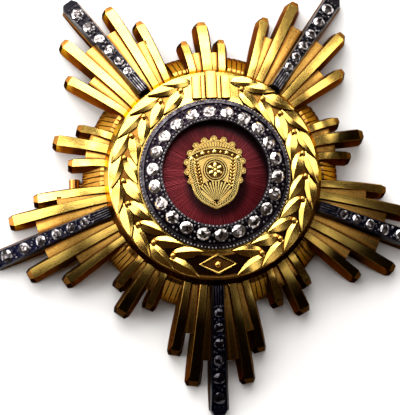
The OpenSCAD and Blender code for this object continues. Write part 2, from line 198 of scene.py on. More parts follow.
def goldMaterial(name, top=None, streaks=True, levelled=True, softer=0.0, lowerShade=0.0):
    s = goldSet
    material, tree, shader = newMaterial(name)
    place = addNode(tree, "TexCoord", out="Object")
    clouds = addNode(tree, "TexNoise", {"Vector": place, "Scale": perSize(s["cloudSize"]),
                                        "Detail": 3.0, "Roughness": 0.55})
    grain = addNode(tree, "TexNoise", {"Vector": place, "Scale": perSize(s["grainSize"]),
                                       "Detail": 4.0, "Roughness": 0.55})
    warm = addNode(tree, "ValToRGB", {"Fac": clouds}, stops=[(0.4, 0.0), (0.7, 0.6)])
    colour = addNode(tree, "Mix", {0: warm, 6: top or s["top"], 7: s["warm"]}, **asColour)
    height = grain
    rough = addNode(tree, "ValToRGB", {"Fac": grain}, stops=[(0.25, 0.11 + softer), (0.75, 0.21 + softer)])
    if streaks:
        along = addNode(tree, "Attribute", out="Fac", attribute_name="along")
        across = addNode(tree, "Attribute", out="Fac", attribute_name="across")
        drawnOut = addNode(tree, "Math", {0: along, 1: s["streakScale"]}, operation="MULTIPLY")
        onBar = addNode(tree, "CombineXYZ", {"X": drawnOut, "Y": across, "Z": clouds})
        lines = addNode(tree, "TexNoise", {"Vector": onBar, "Scale": 5.0, "Detail": 3.0})
        height = addNode(tree, "Math", {0: grain, 1: lines}, operation="ADD")
        scratches = addNode(tree, "ValToRGB", {"Fac": lines}, stops=[(0.32, 0.7), (0.4, 0.0)])
        colour = addNode(tree, "Mix", {0: scratches, 6: colour, 7: s["wall"]}, **asColour)
    if levelled:
        # painted shade: the level ramp darkens walls, feet and hollows, partly brown tarnish, partly shade
        # painted in
        level = addNode(tree, "Attribute", out="Fac", attribute_name="level")
        stains = addNode(tree, "TexNoise", {"Vector": place, "Scale": perSize(s["stainSize"]),
                                            "Detail": 4.0, "Roughness": 0.55})
        uneven = addNode(tree, "MapRange", {"Value": stains, "To Min": -0.14, "To Max": 0.14})
        stained = addNode(tree, "Math", {0: level, 1: uneven}, operation="ADD")
        low = addNode(tree, "ValToRGB", {"Fac": stained}, stops=[
            (0.1, s["tarnishAndShade"]), (0.3, s["shade"]), (0.6, s["wall"]), (0.85, s["warm"])])
        high = addNode(tree, "ValToRGB", {"Fac": level}, stops=[(0.8, 0.0), (0.95, 1.0)])
        colour = addNode(tree, "Mix", {0: high, 6: low, 7: colour}, **asColour)
        polish = addNode(tree, "ValToRGB", {"Fac": level}, stops=[(0.5, 0.0), (0.95, 1.0)])
        rough = addNode(tree, "Mix", {0: polish, 6: (0.4, 0.4, 0.4, 1), 7: rough}, **asColour)
    cells = addNode(tree, "TexVoronoi", {"Vector": place, "Scale": perSize(s["pitSize"])}, "Distance")
    spots = addNode(tree, "ValToRGB", {"Fac": cells}, stops=[(0.06, 1.0), (0.1, 0.0)])
    some = addNode(tree, "ValToRGB", {"Fac": clouds}, stops=[(0.48, 0.0), (0.55, 1.0)])
    pits = addNode(tree, "Math", {0: spots, 1: some}, operation="MULTIPLY")
    colour = addNode(tree, "Mix", {0: pits, 6: colour, 7: s["pit"]}, **asColour)
    if lowerShade:  # painted shade: near black towards the lower end and the rays' tips, plus one darker patch
        upwards = addNode(tree, "VectorMath", {0: place, 1: s["shadeSlant"]}, "Value", operation="DOT_PRODUCT")
        full, none = s["lowerShade"]
        lower = addNode(tree, "MapRange", {"Value": upwards, "From Min": full * mm, "From Max": none * mm,
                                           "To Min": lowerShade, "To Max": 0.0})
        near, far = s["tips"]
        outer = addNode(tree, "MapRange", {"Value": along, "From Min": near, "From Max": far, "To Min": 0.5})
        darkened = addNode(tree, "Math", {0: lower, 1: outer}, operation="MULTIPLY")
        middle = [c * mm for c in s["patch"]]
        away = addNode(tree, "VectorMath", {0: place, 1: middle}, "Value", operation="DISTANCE")
        near, far = s["patchSize"]
        patch = addNode(tree, "MapRange", {"Value": away, "From Min": near * mm, "From Max": far * mm,
                                           "To Min": s["patchTone"], "To Max": 0.0})
        darkened = addNode(tree, "Math", {0: darkened, 1: patch}, operation="MAXIMUM")
        tops = addNode(tree, "MapRange", {"Value": level, "From Min": 0.6, "From Max": 0.9, "To Min": 0.5})
        darkened = addNode(tree, "Math", {0: darkened, 1: tops}, operation="MULTIPLY")  # less on the walls
        colour = addNode(tree, "Mix", {0: darkened, 6: colour, 7: s["darkened"]}, **asColour)
    bump = addNode(tree, "Bump", {"Strength": 0.12, "Distance": 0.04 * mm, "Height": height})
    setInputs(tree, shader, {"Base Color": colour, "Metallic": 1.0, "Roughness": rough, "Normal": bump,
                             "Specular Tint": s["grazing"]})
    return material


# Sulphur-blackened silver: bluer towards the lower end, and bright where the attribute rub says

silverSet = {
    "dark": "#0d0b10", "blue": "#06071f", "bare": "#a8a2a4", "patchSize": 0.9, "grainSize": 0.3,
    "bluer": (10, -12),  # from this height in the picture to this one, mm
}


def silverMaterial(name, dark=None):
    s = silverSet
    material, tree, shader = newMaterial(name)
    place = addNode(tree, "TexCoord", out="Object")
    rub = addNode(tree, "Attribute", out="Fac", attribute_name="rub")
    patches = addNode(tree, "TexNoise", {"Vector": place, "Scale": perSize(s["patchSize"]),
                                         "Detail": 4.0, "Roughness": 0.55})
    grain = addNode(tree, "TexNoise", {"Vector": place, "Scale": perSize(s["grainSize"]),
                                       "Detail": 4.0, "Roughness": 0.55})
    worn = addNode(tree, "ValToRGB", {"Fac": patches}, stops=[(0.38, 0.08), (0.66, 1.0)])
    bright = addNode(tree, "Math", {0: rub, 1: worn}, operation="MULTIPLY")
    base = dark
    if not dark:
        upwards = addNode(tree, "SeparateXYZ", {"Vector": place}, "Y")
        none, full = s["bluer"]
        lower = addNode(tree, "MapRange", {"Value": upwards, "From Min": none * mm, "From Max": full * mm})
        base = addNode(tree, "Mix", {0: lower, 6: s["dark"], 7: s["blue"]}, **asColour)
    colour = addNode(tree, "Mix", {0: bright, 6: base, 7: s["bare"]}, **asColour)
    rough = addNode(tree, "ValToRGB", {"Fac": grain}, stops=[(0.2, 0.25), (0.8, 0.5)])
    bump = addNode(tree, "Bump", {"Strength": 0.3, "Distance": 0.04 * mm, "Height": grain})
    setInputs(tree, shader, {"Base Color": colour, "Metallic": 1.0, "Roughness": rough, "Normal": bump})
    return material


# Foil-backed crystal with painted sparkle: facets white beside grey, lifted at the girdle by the attribute
# rim

crystalSet = {
    "dark": "#3c3533", "grey": "#9c918e", "lowStoneShade": "#1a1620", "cloudSize": 0.4, "lowStoneShadeFull": -24,
}


def crystalMaterial(name, bright, dullness, lowStoneShade=0.0, coat=1.0):
    s = crystalSet
    material, tree, shader = newMaterial(name)
    place = addNode(tree, "TexCoord", out="Object")
    rim = addNode(tree, "Attribute", out="Fac", attribute_name="rim")
    clouds = addNode(tree, "TexNoise", {"Vector": place, "Scale": perSize(s["cloudSize"]),
                                        "Detail": 2.0, "Roughness": 0.55})
    cloud = addNode(tree, "Math", {0: clouds, 1: rim}, operation="ADD")
    colour = addNode(tree, "ValToRGB", {"Fac": cloud}, stops=[
        (0.4 + dullness, s["dark"]), (0.52 + dullness, s["grey"]), (0.7 + dullness, bright)])
    # painted shade: darker towards the lower end of the star
    if lowStoneShade:
        upwards = addNode(tree, "SeparateXYZ", {"Vector": place}, "Y")
        shadedLow = addNode(tree, "MapRange", {"Value": upwards, "From Min": s["lowStoneShadeFull"] * mm, "From Max": 0.0,
                                           "To Min": lowStoneShade, "To Max": 0.0})
        colour = addNode(tree, "Mix", {0: shadedLow, 6: colour, 7: s["lowStoneShade"]}, **asColour)
    setInputs(tree, shader, {"Base Color": colour, "Metallic": 0.9, "Roughness": 0.07, "Coat Weight": coat})
    return material


# Translucent red enamel over fine radial engraving: dark lines, a wet shine, and painted shadows under the
# ring's wall and the emblem

enamelSet = {
    "lines": 190, "body": "#570c13", "line": "#120204", "pale": "#92363c",
    "paintedShadows": [  # painted shadows: middle, from, to, how much
        ((-1.4, -2.4, 0), 10.2, 11.2, 0.93),
        ((-1.4, -2.4, 0), 7.0, 11.5, 0.5),
        ((0.3, -2.3, 0), 6.3, 4.6, 0.9),
    ],
}


def enamelMaterial():
    s = enamelSet
    material, tree, shader = newMaterial("redEnamel")
    place = addNode(tree, "TexCoord", out="Object")
    flat = addNode(tree, "VectorMath", {0: place, 1: (1, 1, 0)}, operation="MULTIPLY")
    heading = addNode(tree, "VectorMath", {0: flat}, operation="NORMALIZE")
    streaks = addNode(tree, "TexNoise", {"Vector": heading, "Scale": 60.0, "Detail": 3.0})
    x = addNode(tree, "SeparateXYZ", {"Vector": place}, "X")
    y = addNode(tree, "SeparateXYZ", {"Vector": place}, "Y")
    turn = addNode(tree, "Math", {0: y, 1: x}, operation="ARCTAN2")
    turns = addNode(tree, "Math", {0: turn, 1: float(s["lines"])}, operation="MULTIPLY")
    wave = addNode(tree, "Math", {0: turns}, operation="SINE")
    wave = addNode(tree, "MapRange", {"Value": wave, "From Min": -1.0})
    height = addNode(tree, "Math", {0: wave, 1: streaks}, operation="ADD")
    half = addNode(tree, "Math", {0: height, 1: 0.5}, operation="MULTIPLY")
    lines = addNode(tree, "ValToRGB", {"Fac": half}, stops=[(0.25, 0.9), (0.6, 0.0)])
    pale = addNode(tree, "ValToRGB", {"Fac": streaks}, stops=[(0.4, 0.0), (0.7, 0.7)])
    colour = addNode(tree, "Mix", {0: pale, 6: s["body"], 7: s["pale"]}, **asColour)
    colour = addNode(tree, "Mix", {0: lines, 6: colour, 7: s["line"]}, **asColour)
    # painted shadows: a dark crescent along the ring's wall at the top right and a shadow under the emblem's
    # lower edge
    for middle, near, far, most in s["paintedShadows"]:
        middle = [c * mm for c in middle]
        away = addNode(tree, "VectorMath", {0: flat, 1: middle}, "Value", operation="DISTANCE")
        shadowed = addNode(tree, "MapRange", {"Value": away, "From Min": near * mm, "From Max": far * mm,
                                          "To Max": most}, interpolation_type="SMOOTHSTEP")
        colour = addNode(tree, "Mix", {0: shadowed, 6: colour, 7: s["line"]}, **asColour)
    bump = addNode(tree, "Bump", {"Strength": 0.6, "Distance": 0.05 * mm, "Height": height})
    setInputs(tree, shader, {"Base Color": colour, "Metallic": 0.6, "Roughness": 0.3, "Normal": bump,
                             "Specular IOR Level": 0.1, "Coat Weight": 0.05, "Coat Roughness": 0.08})
    return material


rayGold = goldMaterial("filedCastGold", softer=0.07, lowerShade=0.95)
collarGold = goldMaterial("chasedCastGold", streaks=False)
emblemGold = goldMaterial("polishedReliefGold", "#ffe288", streaks=False, softer=0.1)
pinGold = goldMaterial("drawnPinGold", "#b07838", streaks=False, levelled=False)
raySilver = silverMaterial("oxidisedRaySilver")
ringSilver = silverMaterial("oxidisedRingSilver", "#1c151d")
ringCrystal = crystalMaterial("foilBackedCrystalPaintedSparkle", "#ddd4cf", 0.06)
rayCrystal = crystalMaterial("dullRoseCutCrystalPaintedSparkle", "#d4d0d2", 0.12, lowStoneShade=0.97, coat=0.25)
enamel = enamelMaterial()
print("materials made")


# Mesh helpers: shapes are drawn in millimetres, and addPiece brings them to metres

def meshFrom(name, bm):
    mesh = bpy.data.meshes.new(name)
    bm.to_mesh(mesh)
    bm.free()
    return mesh


def addPiece(name, bm, slot, material, *nodes, sharp=24):
    bmesh.ops.transform(bm, matrix=Matrix.Scale(mm, 4), verts=bm.verts)
    mesh = meshFrom(name, bm)
    mesh.materials.append(material)
    for face in mesh.polygons:
        face.use_smooth = True
    mesh.set_sharp_from_angle(angle=radians(sharp))
    piece = addObject(name, mesh)
    even = piece.modifiers.new("evenShade", "WEIGHTED_NORMAL")
    even.keep_sharp = True
    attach(piece, "root")
    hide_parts(*nodes)
    print("piece:", name, len(mesh.polygons), "faces")


def joinInto(target, part, place=None):
    if place is not None:
        bmesh.ops.transform(part, matrix=place, verts=part.verts)
    patch = meshFrom("patch", part)
    target.from_mesh(patch)
    bpy.data.meshes.remove(patch)


def cutBlock(lengthCuts, widthCuts):
    bm = bmesh.new()
    bmesh.ops.create_cube(bm, size=1)
    for axis, cuts in ((0, lengthCuts), (1, widthCuts)):
        edges = [e for e in bm.edges if abs(e.verts[0].co[axis] - e.verts[1].co[axis]) > 0.9]
        bmesh.ops.subdivide_edges(bm, edges=edges, cuts=cuts, use_grid_fill=True)
    return bm


def bevelSharp(bm, width, angle=20, segments=2):
    edges = [e for e in bm.edges if e.is_manifold and e.calc_face_angle(0) > radians(angle)]
    bmesh.ops.bevel(bm, geom=edges, offset=width, segments=segments, profile=0.5, affect="EDGES", material=-1)


def setAttribute(bm, name, rule):
    layer = bm.verts.layers.float.get(name) or bm.verts.layers.float.new(name)
    for v in bm.verts:
        v[layer] = rule(v.co)


def evenStops(start, end, count):
    return [mix(start, end, i / (count - 1)) for i in range(count)]


def rayPlace(rootAngle, tipAngle, tipR, rootR):
    root = onCircle(rootR, rootAngle)
    run = onCircle(tipR, tipAngle) - root
    turn = math.degrees(math.atan2(run.y, run.x))
    return Matrix.Translation(root - onCircle(rootR, turn)) @ aboutZ(turn)


def smallBall(target, radius, at, rub):
    bm = bmesh.new()
    bmesh.ops.create_uvsphere(bm, u_segments=8, v_segments=5, radius=radius)
    setAttribute(bm, "rub", lambda p: rub)
    joinInto(target, bm, Matrix.Translation(at))


def spinProfile(points, steps):
    bm = bmesh.new()
    verts = [bm.verts.new((r, 0, z)) for r, z in points]
    edges = [bm.edges.new((a, b)) for a, b in zip(verts, verts[1:] + verts[:1])]
    bmesh.ops.spin(bm, geom=verts + edges, cent=(0, 0, 0), axis=(0, 0, 1), angle=math.tau, steps=steps,
                   use_merge=True)
    bmesh.ops.remove_doubles(bm, verts=bm.verts, dist=0.0005)
    bmesh.ops.recalc_face_normals(bm, faces=bm.faces)
    return bm


# Gold star: seven long rays between two silver ones, lower fillers, fluted webs and a hollow conical seat

starSet = {
    "points": 5, "firstSilver": -90, "coreR": 19.0, "rootR": 19.5, "rootZ": 8.65, "rootWall": 1.7,
    "tipWall": 2.9, "draft": 0.18, "bend": 1.7, "endLen": 0.85, "endShare": 0.62, "endDrop": 0.45,
    "tipTone": 0.5, "edge": 0.06,
    "angles": [-15, -8, 0, 8, 15, 28.4, 36, 43.6],
    "order": ["middle", "long", "silver", "long", "middle", "short", "centre", "short"],
    "kinds": {  # tip radius, tip height, width at root, width at tip
        "middle": (32.0, 3.3, 1.2, 1.6),
        "long": (36.9, 3.1, 1.35, 1.9),
        "centre": (29.2, 3.9, 1.65, 1.95),
        "short": (25.8, 4.5, 1.2, 1.4),
        "silver": (42.0, 1.6, 1.75, 2.95),
    },
    "rootTurns": [  # degrees off each angle, a row for each point
        [-0.6, 0.9, 0, 0, 0.1, 0.5, 0.2, -0.8],
        [-0.8, -1.1, 0, -1.2, -2.2, -1.0, -0.5, -0.8],
        [1.5, 0.3, -0.8, 0.3, -1.2, 0.7, 0.6, 1.1],
        [2.1, 1.9, 1.2, 1.4, 1.0, 2.2, 1.7, 1.6],
        [2.1, 0, -0.4, 0.1, 0.2, 0.2, -0.5, -0.5],
    ],
    "tipTurns": [
        [1.2, 1.0, 0.1, 0.7, -0.7, -1.9, -2.2, -2.6],
        [-1.7, -1.3, 0, -0.6, -1.5, -2.0, -2.6, -2.0],
        [-1.0, 0.3, -0.1, 0.6, 0.4, 1.5, 1.4, 1.5],
        [1.2, 0.5, 0.3, 0.5, 1.5, 2.5, 1.8, 2.2],
        [1.5, 0, 0.7, 0, 0.2, 0.6, -0.2, 0.2],
    ],
    "fillers": [  # the two rays that one lies between, share, end radius, widths
        (3, 2, 0.44, 32.3, 1.3, 2.5),
        (1, 2, 0.44, 32.3, 1.3, 2.5),
        (3, 4, 0.5, 27.9, 1.3, 2.0),
        (1, 0, 0.5, 27.9, 1.3, 2.0),
        (6, 5, 0.52, 22.9, 1.2, 1.7),
        (6, 7, 0.52, 22.9, 1.2, 1.7),
    ],
    "fillerDrop": 0.9, "fillerWall": 1.3, "fillerDraft": 0.1, "fillerTone": 0.9, "fillerEdgeShade": 0.8,
    "flutes": [18.1, 20.55, 23.0, 25.45, 46.55, 49.0, 51.45, 53.9],
    "webR": 23.1, "webZ": 2.8, "webDrop": 0.55, "webBend": 1.25, "webWall": 1.2,
    "webDraft": 0.16, "webEdge": 0.07, "webTone": 0.74, "webLowTone": 0.2, "fluteW": 0.9,
    "webShadeShift": 5.0,  # the web gets the rays' painted shade as if it lay this much farther out
    "shell": [(0.01, 7.65), (0.01, 8.7), (19.2, 8.7), (19.45, 7.5), (21.2, 4.8), (22.9, 2.3), (22.75, 1.8),
              (22.2, 1.8), (20.2, 4.6), (18.2, 6.9), (16.5, 7.65)],
    "shellTone": 0.62,
}
random.seed(5)
noise.seed_set(5)  # it starts from the clock otherwise


def share(r, tipR):
    return max(0.0, (r - starSet["rootR"]) / (tipR - starSet["rootR"]))


def goldTop(r, kind):
    tipR, tipZ = starSet["kinds"][kind][:2]
    return mix(starSet["rootZ"], tipZ, share(r, tipR) ** starSet["bend"])


def rayAngles(k, c):
    s = starSet
    return s["angles"][c] + s["rootTurns"][k][c], s["angles"][c] + s["tipTurns"][k][c]


def pointTurn(k):
    return aboutZ(starSet["firstSilver"] + k * 360 / starSet["points"])


# A bar along +X through the stops: halfAt, topAt and lowAt give half its width, its top and its underside
# at a radius, and tone, lowTone and the last argument its attribute level, which paints shade on the walls
# and at the edges

def makeBar(stops, halfAt, topAt, lowAt, draft, edge, crown=0.02, rough=0.015, tone=1.0, lowTone=0.4,
            edgeShade=0.0):
    bm = cutBlock(len(stops) - 2, 2)
    seed = Vector((random.uniform(0, 90), random.uniform(0, 90), 0))
    for v in bm.verts:
        r = stops[round((v.co.x + 0.5) * (len(stops) - 1))]
        side = v.co.y * 2
        up = v.co.z > 0
        top, low = topAt(r), lowAt(r)
        half = halfAt(r) + (0 if up else draft * (top - low))
        z = top - crown * side * side if up else low
        wave = noise.noise_vector(Vector((r * 0.7, side, z)) + seed) * rough
        v.co = Vector((r, side * half, z)) + Vector((0, wave.y, wave.z))
    bevelSharp(bm, edge, segments=1)

    def levelAt(p):
        below = topAt(p.x) - p.z
        level = lowTone if below < (topAt(p.x) - lowAt(p.x)) * 0.5 else min(0.6, tone)
        if below < max(0.045, edge * 0.6):
            level = tone
        # painted shade: the top darkens towards both edges
        return level - edgeShade * min(1, (p.y / halfAt(p.x)) ** 2)

    setAttribute(bm, "along", lambda p: p.x)
    setAttribute(bm, "across", lambda p: p.y / max(0.05, halfAt(p.x)))
    setAttribute(bm, "level", levelAt)
    return bm


def goldRay(kind):
    s = starSet
    tipR, tipZ, rootW, tipW = s["kinds"][kind]
    shoulder = tipR - s["endLen"]

    def endShare(r):
        return max(0.0, (r - shoulder) / s["endLen"])

    def topAt(r):
        return goldTop(min(r, shoulder), kind) - s["endDrop"] * endShare(r)

    def lowAt(r):
        gone = min(1.0, (r - s["coreR"]) / (shoulder - s["coreR"]))
        return mix(s["rootZ"] - s["rootWall"], tipZ - s["tipWall"], gone)

    def halfAt(r):
        half = mix(rootW, tipW, share(min(r, shoulder), tipR)) / 2
        return half * mix(1, s["endShare"], endShare(r))

    facetFrom = shoulder + 0.08
    stops = evenStops(s["coreR"], shoulder, 9) + [facetFrom, tipR]
    bar = makeBar(stops, halfAt, topAt, lowAt, s["draft"], s["edge"])
    level = bar.verts.layers.float["level"]
    # painted shade: the sloping end facets get a lower level
    for v in bar.verts:
        if v.co.x > facetFrom - 0.04:
            v[level] *= s["tipTone"]
    return bar


def fillerRay(beside, endR, rootW, endW):
    s = starSet
    kind = s["order"][beside]

    def topAt(r):
        return goldTop(r, kind) - s["fillerDrop"]

    return makeBar(evenStops(s["coreR"], endR, 6), lambda r: mix(rootW, endW, share(r, endR)) / 2, topAt,
                   lambda r: topAt(r) - s["fillerWall"], s["fillerDraft"], s["edge"], tone=s["fillerTone"],
                   edgeShade=s["fillerEdgeShade"])


def webFlute():
    s = starSet
    rootZ = s["rootZ"] - s["webDrop"]

    def topAt(r):
        return mix(rootZ, s["webZ"], share(r, s["webR"]) ** s["webBend"])

    bar = makeBar(evenStops(s["coreR"], s["webR"], 5), lambda r: s["fluteW"] / 2 * r / s["webR"], topAt,
                  lambda r: topAt(r) - s["webWall"], s["webDraft"], s["webEdge"], tone=s["webTone"],
                  lowTone=s["webLowTone"])
    setAttribute(bar, "along", lambda p: p.x + s["webShadeShift"])
    return bar


# Sizes of the silver rays, which the backing strips of the star follow

silverSizes = {
    "column": starSet["order"].index("silver"),
    "inR": 19.5, "shoulderR": 41.0, "rootZ": 10.5, "rootH": 2.1, "tipH": 1.05, "draft": 0.16, "bend": 1.15,
    "stripEndR": 41.3, "stripEndShare": 0.6, "stripFlatR": 37.0, "stripRootZ": 6.4, "stripLip": 0.14,
    "stripGap": 0.06, "stripDraft": 0.04, "stripEdge": 0.05, "stripTone": 0.35,
    "stones": 6, "firstStone": 39, "stonePitch": 3.4, "pitchShrink": 0.93, "stoneShare": 0.42,
    "polish": [0.12, 0.4, 1, 1, 0.5],  # painted sheen on the rubbed parts with wear, less on the lower rays: how bright each ray is, from the lowest one on
}
silverTipR, silverTipZ, silverRootW, silverTipW = starSet["kinds"]["silver"]


def silverTop(r):
    return mix(silverSizes["rootZ"], silverTipZ, share(r, silverTipR) ** silverSizes["bend"])


def silverHalf(r):
    return mix(silverRootW, silverTipW, share(r, silverTipR)) / 2


def silverLow(r):
    s = silverSizes
    return mix(s["rootZ"] - s["rootH"], silverTipZ - s["tipH"], share(r, silverTipR))


def silverPlace(k):
    return pointTurn(k) @ rayPlace(*rayAngles(k, silverSizes["column"]), silverTipR, starSet["rootR"])


def stonePlaces():
    s = silverSizes
    r = s["firstStone"]
    for i in range(s["stones"]):
        step = s["stonePitch"] * s["pitchShrink"] ** i
        yield r, step
        r -= step


def backingStrip():
    s = silverSizes
    coreR = starSet["coreR"]

    def halfAt(r):
        foot = silverHalf(r) + s["draft"] * (silverTop(r) - silverLow(r))
        return (foot + s["stripLip"]) * (s["stripEndShare"] if r > s["shoulderR"] + 0.1 else 1)

    def lowAt(r):
        return max(0, s["stripRootZ"] * (s["stripFlatR"] - r) / (s["stripFlatR"] - coreR))

    return makeBar(evenStops(coreR, s["stripFlatR"], 8) + [s["shoulderR"], s["stripEndR"]], halfAt,
                   lambda r: silverLow(r) - s["stripGap"], lowAt, s["stripDraft"], s["stripEdge"], crown=0,
                   tone=s["stripTone"])


def makeGoldStar():
    s = starSet
    star = spinProfile(s["shell"], 120)
    for name in ("along", "across", "level"):
        star.verts.layers.float.new(name)
    setAttribute(star, "level", lambda p: s["shellTone"])
    for k in range(s["points"]):
        turn = pointTurn(k)
        joinInto(star, backingStrip(), silverPlace(k))
        for c, kind in enumerate(s["order"]):
            if kind != "silver":
                place = rayPlace(*rayAngles(k, c), s["kinds"][kind][0], s["rootR"])
                joinInto(star, goldRay(kind), turn @ place)
        for beside, towards, between, endR, rootW, endW in s["fillers"]:
            root, tip = (mix(a, b, between) for a, b in zip(rayAngles(k, beside), rayAngles(k, towards)))
            joinInto(star, fillerRay(beside, endR, rootW, endW), turn @ rayPlace(root, tip, endR, s["rootR"]))
        webTurn = mix(s["rootTurns"][k][4], s["rootTurns"][k][5], 0.5)
        for angle in s["flutes"]:
            joinInto(star, webFlute(), turn @ aboutZ(angle + webTurn))
    addPiece("goldStar", star, "ray_gold", rayGold, "gold_star")


makeGoldStar()


# Silver rays: a sunken channel for the stones between raised rims, three ridges at the collar

channelSet = {
    "rim": 0.15,  # width of the raised rim at each side
    "slope": 0.07, "depth": 0.25, "endDrop": 0.25, "edge": 0.05, "rimRub": 0.4, "sideRub": 0.03,
    "endGrainR": 40.45, "endGrains": (-0.75, 0, 0.75), "endGrainSize": 0.22,
    "grains": 5,  # between two stones, at random
    "grainGap": 0.34, "grainSize": (0.16, 0.3), "grainRub": (0.2, 2.2), "grainSink": 0.1,
    "ridgeFall": 22.3, "ridgeEnd": 23.6, "ridgeHalf": 0.11,
    "ridgeGap": 0.42, "ridgeRise": 0.06, "ridgeDrop": 0.35,
}


def makeSilverRay(k):
    s = silverSizes
    c = channelSet
    endR = s["shoulderR"]
    stops = evenStops(s["inR"], endR, 24) + [silverTipR]

    def halfAt(r):
        gone = max(0, (r - endR) / (silverTipR - endR))
        return silverHalf(min(r, endR)) * mix(1, starSet["endShare"], gone)

    def topAt(r):
        return silverTop(min(r, endR)) - c["endDrop"] * max(0, r - endR)

    ray = cutBlock(len(stops) - 2, 4)
    for v in ray.verts:
        r = stops[round((v.co.x + 0.5) * (len(stops) - 1))]
        column = round((v.co.y + 0.5) * 5)
        half = halfAt(r)
        inner = [-half, c["rim"] - half, c["rim"] + c["slope"] - half]
        place = (inner + [-y for y in reversed(inner)])[column]
        z = topAt(r) - (c["depth"] if column in (2, 3) and r < endR - 0.2 else 0)
        if v.co.z < 0:
            z = silverLow(r)
            place *= 1 + s["draft"] * (topAt(r) - z) / half
        v.co = (r, place, z)
    bevelSharp(ray, c["edge"])
    # painted sheen: each ray's rubbed brightness is scaled by where it points, least on the lowest
    polish = s["polish"][k]

    def rubAt(p):
        return c["rimRub"] * polish if p.z > topAt(p.x) - 0.1 and p.x < endR - 0.1 else c["sideRub"]

    setAttribute(ray, "rub", rubAt)
    for y in c["endGrains"]:
        at = Vector((c["endGrainR"], y, silverTop(c["endGrainR"]) - c["grainSink"]))
        smallBall(ray, c["endGrainSize"], at, 0.5 * polish)
    for r, step in stonePlaces():
        for j in range(c["grains"]):
            x = r - step * random.uniform(0.32, 0.68)
            y = (j - c["grains"] // 2) * c["grainGap"] * silverHalf(x)
            at = Vector((x, y, silverTop(x) - c["grainSink"]))
            smallBall(ray, random.uniform(*c["grainSize"]), at, random.uniform(*c["grainRub"]) * polish)

    def ridgeTop(r):
        fall = max(0, (r - c["ridgeFall"]) / (c["ridgeEnd"] - c["ridgeFall"]))
        return silverTop(r) + c["ridgeRise"] - c["ridgeDrop"] * fall ** 2

    for side in (-1, 0, 1):
        ridge = makeBar(evenStops(s["inR"] + 0.05, c["ridgeEnd"], 8), lambda r: c["ridgeHalf"], ridgeTop,
                        lambda r: silverTop(r) - 0.6, 0.1, 0.08, crown=0, rough=0.02)
        setAttribute(ridge, "rub", lambda p: polish if p.z > silverTop(p.x) - 0.12 else 0.1)
        joinInto(ray, ridge, Matrix.Translation((0, side * c["ridgeGap"], 0)))
    bmesh.ops.transform(ray, matrix=silverPlace(k), verts=ray.verts)
    addPiece(f"silverRay{k + 1}", ray, "oxidised_silver", raySilver, f"silver_ray_{k + 1}")


for point in range(starSet["points"]):
    makeSilverRay(point)


# Laurel collar: a domed band under two branches of leaves and berries, a diamond tie and five flat bars

collarSet = {
    "inR": 12.85, "outR": 18.5, "footR": 19.3, "ringR": 13.3, "highZ": 11.2, "lowZ": 10.4, "seatZ": 8.76,
    "ground": (14.2, 18.0),  # the ground between the leaves lies between these radii
    "groundTone": (0.08, 0.66),  # painted shade between the leaves, darker at the lower end than at the upper
    "besideBarsTone": 0.95,
    "wallTone": (0.9, 0.1),  # of the outer wall, from the middle down: painted shade, darker downwards
    "pairs": 10, "firstLeaf": 19.5, "pitch": 14.6, "leafLen": 6.2, "leafW": 2.4, "rise": 0.62,
    "outline": [(0, 0.35), (0.14, 0.75), (0.4, 1), (0.64, 0.8), (0.86, 0.36), (1, 0.03)],
    "columns": [(-1, 0.2), (-0.2, 0.5), (1, 0.18)],  # side and height: the fold lies beside the middle
    "leaves": [  # of a pair: how far out, start, turn, shares of length and width
        (0.85, -0.3, 5, 1, 0.95),
        (-0.3, -0.3, -32, 0.88, 0.92),
    ],
    "besideBars": 12.0, "thinLeaf": (1.1, 0, 4, 0.8, 0.85),
    "berryCircle": 16.05, "berryR": 0.5, "berryRise": 0.62,
    "tieR": 15.85, "tieSize": (3.7, 6.8, 0.85), "tieRise": 0.2, "tieBerryR": 0.66, "tieBerryRise": 0.5,
    "bars": [  # offset, width, end radius, height, painted shade at the edges
        (0, 1.9, 18.6, 0.9, 0.3),
        (2.6, 1.6, 17.7, 0.7, 0.3),
        (-2.6, 1.6, 17.7, 0.7, 0.3),
        (1.4, 0.8, 18.0, 0.3, 0.7),
        (-1.4, 0.8, 18.0, 0.3, 0.7),
    ],
}


def collarZ(r):
    s = collarSet
    return mix(s["highZ"], s["lowZ"], (r - s["ringR"]) / (s["outR"] - s["ringR"]))


def leafMesh(outwards, start, turn, lengthShare, widthShare):
    s = collarSet
    outline, columns = s["outline"], s["columns"]
    r0 = s["berryCircle"] + outwards
    length, halfWidth = s["leafLen"] * lengthShare, s["leafW"] * widthShare / 2
    bm = cutBlock(len(outline) - 2, 1)
    a = radians(turn + random.uniform(-2, 2))
    lift = s["rise"] * random.uniform(0.85, 1.1)
    for v in bm.verts:
        u, width = outline[round((v.co.x + 0.5) * (len(outline) - 1))]
        side, roof = columns[round((v.co.y + 0.5) * 2)]
        along = start + length * u
        across = side * width * halfWidth
        x = r0 + along * math.sin(a) + across * math.cos(a)
        y = -along * math.cos(a) + across * math.sin(a)
        z = collarZ(math.hypot(x, y))
        if v.co.z > 0:
            z += roof * width ** 0.6 + lift * u + 0.04
        else:
            z -= 0.12 - max(0, 1.2 * lift * (u - 0.5))
        v.co = (x, y, z)
    bmesh.ops.remove_doubles(bm, verts=bm.verts, dist=0.01)
    bevelSharp(bm, 0.05, segments=1)
    bm.normal_update()
    # painted shade: faces that look up get the top tone, sides and undersides are dark
    level = bm.verts.layers.float.new("level")
    for v in bm.verts:
        v[level] = 1 if v.normal.z > 0.7 else 0.25 if v.normal.z > 0 else 0
    return bm


def berry(radius, r, rise):
    bm = bmesh.new()
    bmesh.ops.create_icosphere(bm, subdivisions=3, radius=radius)
    # painted shade: lighter on top, darker below
    setAttribute(bm, "level", lambda p: 0.5 + 0.4 * p.z / radius)
    bmesh.ops.translate(bm, verts=bm.verts, vec=(r, 0, collarZ(r) + rise))
    return bm


